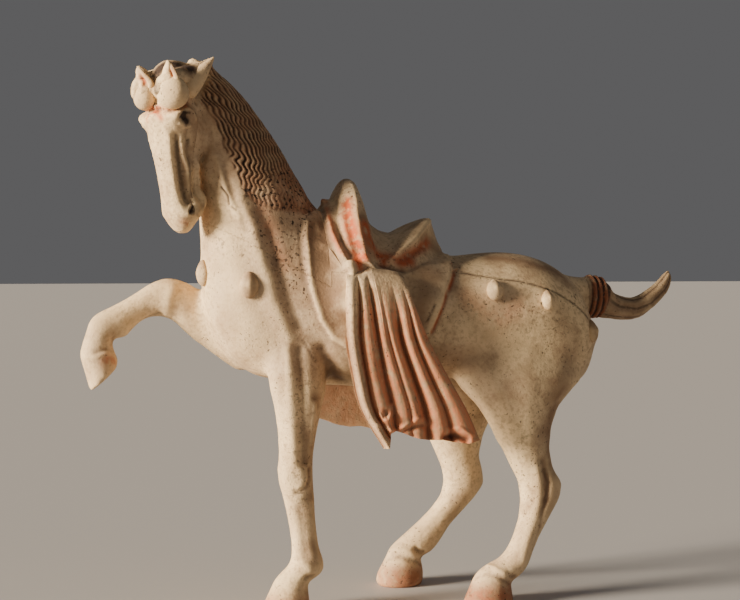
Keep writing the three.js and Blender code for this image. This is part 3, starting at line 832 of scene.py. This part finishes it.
# The head: small and dry, of the same clay, with two forelock bunches tied up between the ears and a lock
# swept back. Eye, nostril and mouth are cut with a tool, and brown paint stays in them.
HEAD_CUTS = [
    (2.0, 1.2, [(180, 123), (184, 127), (190, 126)]),
    (3.0, -3.2, [(184, 118), (188, 118)]),
    (2.2, 1.6, [(186, 119)]),
    (2.6, -3.6, [(192, 211), (195, 207), (197, 203)]),
    (2.2, 1.4, [(189, 214), (190, 206), (194, 200), (199, 199)]),
    (1.5, -1.6, [(204, 211), (201, 216), (196, 221), (191, 224)]),
    (1.4, -1.4, [(153.5, 104)]),
    (1.2, -0.9, [(181, 171), (191, 171), (196, 172), (200, 174)]),
]
EYE_NOSTRIL_AND_CHEEK_SHADE = [
    (4.4, 1.7, [(184, 116), (187, 121)]),
    (1.6, 0.8, [(180, 117), (184, 112), (190, 113)]),
    (2.8, 1.5, [(190, 212), (193, 208), (196, 203), (199, 200)]),
    (1.3, 0.8, [(204, 211), (201, 216), (196, 221)]),
    (6.0, 0.4, [(203, 187), (204, 196), (201, 205)]),
    (1.6, 1.2, [(153.5, 104)]),
    # painted shade in the two grooves of the cheek
    (2.2, 0.7, [(188, 140), (189, 165), (192, 195)]),
    (2.4, 0.7, [(177, 142), (180, 175), (185, 198)]),
]
HEAD_RED = [
    (5.0, 0.8, [(166, 108), (175, 106), (184, 103)]),
    (4.0, 0.8, [(152, 108), (158, 113), (161, 118)]),
    (5.0, 0.4, [(184, 222), (192, 226)]),
    (5.0, 0.6, [(206, 205), (203, 212)]),
]
# Brown on the head; the first two strokes are painted shade on its side plane, which faces away from the
# light.
HEAD_BROWN = [
    (10, 0.9, [(196, 125), (198, 160), (199, 190)]),
    (7, 0.9, [(184, 150), (188, 190), (196, 212)]),
    (8, 1.0, [(200, 188), (202, 196), (202, 204)]),
    (8, 0.8, [(186, 95), (190, 108)]),
]
IN_EARS = [
    (3.6, 1, [(173, 69), (175, 76)]),
    (3.6, 1, [(142, 77), (145, 83)]),
]
EAR_HOLLOW = 1.8  # mm
SCALP_PAINT = [
    (9.0, 1.2, [(158, 70), (163, 66), (178, 66), (190, 68)]),
    (5.0, 0.8, [(157, 78), (156, 92)]),
]

refine(head)
comb_mane(head)
points = drawn_points(head)
ears = drawn_by_hand(points, IN_EARS)
scalp = drawn_by_hand(points, SCALP_PAINT)
cuts = drawn_by_hand(points, HEAD_CUTS, other_cheek)
raise_skin(head, cuts - EAR_HOLLOW * ears)
set_marks(
    head,
    dark=drawn_by_hand(points, EYE_NOSTRIL_AND_CHEEK_SHADE, other_cheek) + scalp,
    red=drawn_by_hand(points, HEAD_RED, other_cheek) + ears,
    stain=drawn_by_hand(points, HEAD_BROWN, other_cheek) + scalp,
)
mark_relief(head)
close_rim(head)
set_in_frame(head, body_clay)

# The ears, the forelock bunches and the swept lock: small forms of the same clay, shaped by hand and luted
# on to the crown. The ears are hollowed in front and keep brown and red paint inside.
FORM_SEGMENTS = 48
FORM_RINGS = 32


def picture_point(u, v, y):
    """The drawn points that picture pixels show on the upright plane at y."""
    right = np.array([math.cos(VIEW_TURN), math.sin(VIEW_TURN), 0])
    away = np.array([-math.sin(VIEW_TURN), math.cos(VIEW_TURN), 0])
    up = np.array([0, 0, 1])
    ray = FOCAL * away + (u - PICTURE_MIDDLE)[..., None] * right + (HORIZON - v)[..., None] * up
    eye = in_drawing(EYE)
    return eye + ((y - eye[1]) / ray[..., 1])[..., None] * ray


def pressed_form(name, base, tip, facing, size, taper, hollow):
    """An almond of clay from base to tip. Size is its width, its thickness and its root's depth."""
    bpy.ops.object.select_all(action="DESELECT")
    bpy.ops.mesh.primitive_uv_sphere_add(segments=FORM_SEGMENTS, ring_count=FORM_RINGS, radius=1)
    piece = bpy.context.object
    piece.name = name
    ball = np.empty(len(piece.data.vertices) * 3)
    piece.data.vertices.foreach_get("co", ball)
    across, depth, up = ball.reshape(-1, 3).T
    width, thickness, root = size
    length = np.linalg.norm(tip - base)
    along = (tip - base) / length
    facing = facing - (facing @ along) * along
    facing /= np.linalg.norm(facing)
    side = np.cross(along, facing)
    narrow = 1 - taper * np.clip(up, 0, 1) ** 1.4
    dent = hollow * np.exp(-((up - 0.1) ** 2) / 0.16 - across**2 / 0.12)
    front = np.where(depth < 0, 1 - dent, 1)
    points = (
        base
        + (across * narrow * width / 2)[:, None] * side
        + np.where(up > 0, up * length, up * root)[:, None] * along
        - (depth * narrow * front * thickness / 2)[:, None] * facing
    )
    place_points(piece, points)
    activate(piece)
    bpy.ops.object.mode_set(mode="EDIT")
    bpy.ops.mesh.select_all(action="SELECT")
    bpy.ops.mesh.normals_make_consistent(inside=False)
    bpy.ops.object.mode_set(mode="OBJECT")
    bpy.ops.object.shade_smooth()
    return piece


HEAD_FRONT = np.array((-math.cos(HEAD_TURN), -math.sin(HEAD_TURN), 0))
# The crown's forms: name, pixels of base and tip, mm that the base is sunk in and that the tip lies
# behind, size in mm, taper, hollow, and the share of red inside.
CROWN_FORMS = [
    ("near_bunch", (173, 94), (173, 76), 11, 12, (40, 32, 17), 0.1, 0.0, 0.0),
    ("far_bunch", (145, 98), (145, 84), 7, 9, (27, 24, 14), 0.1, 0.0, 0.0),
    ("near_ear", (173, 79), (169, 61), 4, 4, (18, 9, 8), 0.66, 1.5, 0.9),
    ("far_ear", (147, 85), (137, 66), 4, 4, (19, 9, 8), 0.72, 1.5, 0.9),
    ("swept_lock", (188, 88), (214, 57), 3, 5, (27, 23, 12), 0.58, 0.0, 0.0),
]
INSIDE_PLACE = 0.35  # share of the way from base to tip
INSIDE_REACH = 5.477  # mm
for name, base, tip, sunk, behind, size, taper, hollow, red in CROWN_FORMS:
    root = seen_line([base])[0]
    u, v = np.array([base, tip], float).T
    base, tip = picture_point(u, v, root[1] + np.array([sunk, behind]))
    form = pressed_form(name, base, tip, HEAD_FRONT, size, taper, hollow)
    points = drawn_points(form)
    middle = base + INSIDE_PLACE * (tip - base)
    inside = np.exp(-((points - middle) ** 2).sum(axis=1) / INSIDE_REACH**2)
    set_marks(form, red=red * inside, dark=0.5 * red * inside, stain=0.25 + 0 * inside)
    mark_relief(form)
    set_in_frame(form, body_clay)

# The saddle: a high pommel and cantle pinched from sheets of clay, with a rolled cloth laid across the
# withers. Its hollows are darkened with maroon, for left-over red paint and painted shade.
refine(saddle)
mark_relief(saddle)
close_rim(saddle)
MAROON = (0.10, 0.035, 0.022, 1)
saddle_clay = slipped_clay("saddle_clay", CREAM, TAN, BROWN, TERRACOTTA, MAROON, 0.6)
set_in_frame(saddle, saddle_clay)

# The tail: a short bound dock and a tapering switch of hair that curls up, rolled from one piece of clay
# and luted into the croup. Hair is scored along it.
TAIL_LINE = [(581, 298), (600, 300), (615, 306), (632, 307), (645, 301), (658, 288), (668, 273)]
STRANDS = 7
STRAND_RISE = 0.7  # mm
BINDING_START = (3, 7)  # mm along the tail
BINDING_END = (25, 31)
BINDING_RISE = 1.7  # mm
HAIR_START = (26, 36)  # mm along the tail

refine(tail)
points = drawn_points(tail)
u, v = np.array(TAIL_LINE, float).T
core = picture_point(u, v, 0 * u)
best = np.full(len(points), np.inf)
along_tail = np.zeros(len(points))
offset = np.zeros((len(points), 3))
run = 0.0
for a, b in zip(core[:-1], core[1:]):
    step = b - a
    share = np.clip((points - a) @ step / (step @ step), 0, 1)
    away = points - a - share[:, None] * step
    distance = (away**2).sum(axis=1)
    closer = distance < best
    best[closer] = distance[closer]
    along_tail[closer] = run + share[closer] * np.linalg.norm(step)
    offset[closer] = away[closer]
    run += np.linalg.norm(step)
angle = np.arctan2(offset[:, 1], offset[:, 2])
strand = np.cos(STRANDS * angle + 0.035 * along_tail + 0.6 * np.sin(2 * angle))
hair = ramp(along_tail, *HAIR_START)
binding = ramp(along_tail, *BINDING_START) * (1 - ramp(along_tail, *BINDING_END))
turns = np.sin(0.85 * along_tail + 0.9 * np.cos(angle))
raise_skin(tail, STRAND_RISE * strand * hair + binding * (BINDING_RISE + 1.3 * turns))
dark = 0.18 + (1 - ramp(strand, -0.98, -0.6)) * hair * 0.5
dark += binding * (0.30 + 0.6 * ramp(-turns, 0.2, 0.9))
# The brown is painted shade, strongest on the near lower side of the tail and weakest on its top towards
# the far side.
stain = 0.75 + 0.25 * np.cos(angle + 2.5)
set_marks(tail, red=0.75 * binding, dark=dark, stain=stain)
mark_relief(tail)
close_rim(tail)
set_in_frame(tail, body_clay)

# The hanging cloths: on each side a cloth gathered into a knot below the pommel, its pleats modelled in a
# thick sheet of clay and pressed on to the pad. Fold lines run from the knot to the hem, in picture pixels
# with their depth in millimetres behind the highest pleat.
FOLD_LINES = [
    (17, [(351, 274), (349, 303), (351, 340), (357, 376), (366, 410), (386, 448)]),
    (9, [(347, 272), (345.5, 303), (347.5, 340), (353.5, 376), (362, 410), (385, 449)]),
    (0, [(352, 270), (353, 303), (354.5, 340), (360.5, 376), (369, 410), (390, 449)]),
    (9, [(357, 270), (360, 303), (360.5, 340), (366.5, 376), (374, 410), (391, 439)]),
    (1, [(361, 270), (366, 303), (370, 340), (375.5, 376), (384, 410), (392, 434)]),
    (9, [(366, 268), (372.5, 303), (378.5, 340), (385, 376), (393, 410), (396, 431)]),
    (1, [(371, 267), (379.5, 303), (386, 340), (396, 376), (406, 410), (406, 434)]),
    (4, [(377, 268), (383, 303), (390, 340), (400, 376), (410, 410), (413, 437)]),
    (1, [(383, 269), (387, 303), (394, 340), (405, 376), (415, 410), (420, 439)]),
    (11, [(389, 270), (396, 303), (401.5, 340), (413.5, 376), (424.5, 410), (429, 440)]),
    (0, [(394, 271), (403.5, 303), (411, 340), (424, 376), (438, 410), (443, 440)]),
    (7, [(398, 272), (407.5, 303), (416, 340), (430, 376), (445, 410), (453, 442)]),
    (0, [(401, 274), (411, 303), (422, 340), (440, 376), (457, 410), (470, 444)]),
    (5, [(404, 277), (414, 303), (429, 340), (448, 376), (467, 410), (480, 440)]),
    (17, [(401, 279), (411, 304), (426, 341), (445, 377), (464, 411), (477, 439)]),
]
CLOTH_PROUD = [  # share of the way down, mm that the pleats stand from the middle plane
    (0, 80), (0.04, 90), (0.12, 97), (0.28, 100.5), (0.45, 100), (0.68, 98), (0.88, 96), (1, 95),
]
CLOTH_THICKNESS = 2.5  # mm at least
CLOTH_BACK = -82  # mm, y of the plain inner side
FAR_CLOTH_LEAN = -47  # mm forwards at the hem
FAR_CLOTH_DROP = 1  # mm lower at the hem
FAR_FOLD_SHARE = 0.7
FOLD_TURN = 2.2  # 1 for flat sides, more for rounder pleats
FRONT_FOLDS = 6  # gaps between fold lines, counted from the front
FRONT_FOLDS_START = (0.03, 0.18)  # shares of the way down
REAR_FOLDS_START = (0.08, 0.42)
HEM_OPENING = [(446, 438), (456, 436), (467, 439)]
HEM_OPENING_REACH = 4  # mm
CLAY_SHEET = 0.01  # m, before it is shaped
NEAR_GRID = (180, 150)  # faces across and down
FAR_GRID = (150, 100)
FINE_STREAKS = 170  # radians from edge to edge
BROAD_STREAKS = 61
HEM_STROKES = [
    (3.0, 2.2, [
        (379, 424), (385, 428), (392, 430), (400, 428), (408, 424), (416, 420), (424, 418), (427, 424),
    ]),
    (3.0, -3.0, [(392, 435), (400, 434), (408, 430), (416, 427), (422, 426)]),
    (2.8, 3.0, [(391, 404), (392, 412), (388, 420), (382, 420), (379, 414)]),
    (2.6, -3.0, [(386, 411), (387, 414)]),
    (4.0, -6.0, [(446, 438), (456, 436), (467, 440)]),
    (2.4, 1.6, [(448, 429), (460, 428), (473, 435)]),
]


def eased(share, values):
    """Smooth values at shares 0 to 1 of evenly spaced ones."""
    values = np.asarray(values, float)
    place = share * (len(values) - 1)
    low = np.clip(np.floor(place).astype(int), 0, len(values) - 2)
    t = (place - low)[..., None]
    p0 = values[np.clip(low - 1, 0, None)]
    p1, p2 = values[low], values[low + 1]
    p3 = values[np.clip(low + 2, None, len(values) - 1)]
    return p1 + 0.5 * t * (p2 - p0 + t * (2 * p0 - 5 * p1 + 4 * p2 - p3 + t * (3 * (p1 - p2) + p3 - p0)))


def hanging_cloth(name, side, grid):
    bpy.ops.object.select_all(action="DESELECT")
    bpy.ops.mesh.primitive_grid_add(x_subdivisions=grid[0], y_subdivisions=grid[1], size=2)
    piece = bpy.context.object
    piece.name = name
    flat = np.empty(len(piece.data.vertices) * 3)
    piece.data.vertices.foreach_get("co", flat)
    across = (flat[0::3] + 1) / 2
    down = (1 - flat[1::3]) / 2
    apply_modifier(piece, "SOLIDIFY", thickness=CLAY_SHEET, offset=1)
    lines = np.array([line for _, line in FOLD_LINES], float)
    depths = np.array([depth for depth, _ in FOLD_LINES], float)
    place = across * (len(lines) - 1)
    left = np.clip(np.floor(place).astype(int), 0, len(lines) - 2)
    beside = place - left
    into_groove = depths[left + 1] > depths[left]
    turn = np.where(into_groove, beside**FOLD_TURN, 1 - (1 - beside) ** FOLD_TURN)
    down_lines = np.stack([eased(down, line) for line in lines])
    index = np.arange(len(down))
    pixels = down_lines[left, index] * (1 - beside)[:, None]
    pixels += down_lines[left + 1, index] * beside[:, None]
    fold = depths[left] * (1 - turn) + depths[left + 1] * turn
    outer = np.minimum(left, len(lines) - 2 - left) < 1
    opened = np.where(left < FRONT_FOLDS, ramp(down, *FRONT_FOLDS_START), ramp(down, *REAR_FOLDS_START))
    fold *= np.where(outer, 1, opened)
    if side > 0:
        fold *= FAR_FOLD_SHARE
    proud = np.interp(down, *np.array(CLOTH_PROUD).T)
    front = picture_point(pixels[:, 0], pixels[:, 1], -(proud - fold))
    plain = picture_point(pixels[:, 0], pixels[:, 1], 0 * proud)
    for width, rise, stroke in HEM_STROKES:
        u, v = np.array(stroke, float).T
        front[:, 1] -= rise * nearness(plain, picture_point(u, v, 0 * u), width)
    u, v = np.array(HEM_OPENING, float).T
    opening = nearness(plain, picture_point(u, v, 0 * u), HEM_OPENING_REACH)
    back = front.copy()
    back[:, 1] = np.maximum(front[:, 1] + CLOTH_THICKNESS, CLOTH_BACK + 2 * down)
    points = np.vstack([front, back])
    low = np.tile(down, 2)
    if side > 0:
        points[:, 0] += FAR_CLOTH_LEAN * low**2
        points[:, 1] *= -1
        points[:, 2] -= FAR_CLOTH_DROP * low
    place_points(piece, points)
    if outward(piece)[: len(down), 1].mean() * side < 0:
        piece.data.flip_normals()
    activate(piece)
    bpy.ops.object.shade_smooth()
    groove = np.clip((fold - 2) / 5, 0, 1)
    fine = np.sin(FINE_STREAKS * across + 3 * np.sin(6 * down))
    streak = 0.5 + 0.5 * fine * np.sin(BROAD_STREAKS * across + 2 * down)
    low_part = ramp(down + 0.1 * streak, 0.12, 0.38)
    red = low_part * (0.72 + 0.5 * groove + 0.8 * (streak - 0.5)) + opening
    red *= 1 - 0.85 * (left < 3) * np.where(left < 2, 1, 1 - groove)
    hidden = np.zeros(len(down))
    # Low down the pleat grooves get the dark colour; the dark in the hem's opening is painted shade.
    set_marks(
        piece,
        red=np.concatenate([red, hidden + 0.25]),
        dark=np.concatenate([0.5 * groove * low_part + 0.6 * opening, hidden]),
        stain=np.concatenate([0.35 * low_part + 0.3 * (left > 4), hidden + 0.6]),
    )
    # a weaker painted highlight on the pleat ridges
    mark_relief(piece, 0.3)
    return piece


PALE_RED = (0.68, 0.25, 0.12, 1)
# the colour of the pleat grooves and hollows, and of the painted shade in the hem's opening
FOLD_DARK = (0.10, 0.04, 0.025, 1)
cloth_clay = slipped_clay("cloth_clay", CREAM, TAN, BROWN, PALE_RED, FOLD_DARK, 0.6)
near_cloth = hanging_cloth("near_cloth", -1, NEAR_GRID)
set_in_frame(near_cloth, cloth_clay)
far_cloth = hanging_cloth("far_cloth", 1, FAR_GRID)
set_in_frame(far_cloth, cloth_clay)

# The strap drops: almond-shaped clay drops that hang below the breast and croup straps, pressed in one
# mould and luted on while soft, three on the chest and five round the croup.
DROP_PLACES = [  # picture pixel, width and height in mm, share of brown stain, also on the far side
    ((249, 285), 22, 31, 0.9, True),
    ((203, 273), 19, 31, 0.8, False),
    ((495, 290), 21, 27, 0.3, True),
    ((548, 300), 17, 25, 0.3, True),
    ((592, 331), 16, 28, 0.9, False),
]
DROP_THICKNESS = 15  # mm
DROP_TAPER = 0.38
DROP_SWELL = -0.16  # less than 0, so that the front bulges
drop_clay = slipped_clay("drop_clay", CREAM, TAN, BROWN, TERRACOTTA, UMBER, 0.5)
count = 0
for pixel, width, height, stain, both_sides in DROP_PLACES:
    spot = seen_line([pixel])[0]
    for side in ((1, -1) if both_sides else (1,)):
        spot = spot * (1, side, 1)
        place, facing = skin.find_nearest(frame_point(*spot))[:2]
        count += 1
        place = in_drawing(place)
        facing = np.array(facing)
        across = np.cross((0, 0, 1), facing)
        above = np.cross(facing, across / np.linalg.norm(across))
        tip = place + above * height / 2
        size = (width, DROP_THICKNESS, height / 2)
        drop = pressed_form("strap_drop_%d" % count, place, tip, facing, size, DROP_TAPER, DROP_SWELL)
        set_marks(drop, stain=np.full(len(drop.data.vertices), stain))
        mark_relief(drop)
        set_in_frame(drop, drop_clay)

size = {"cad": [list(corner) for corner in cad_box], "visual": [list(corner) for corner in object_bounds()]}
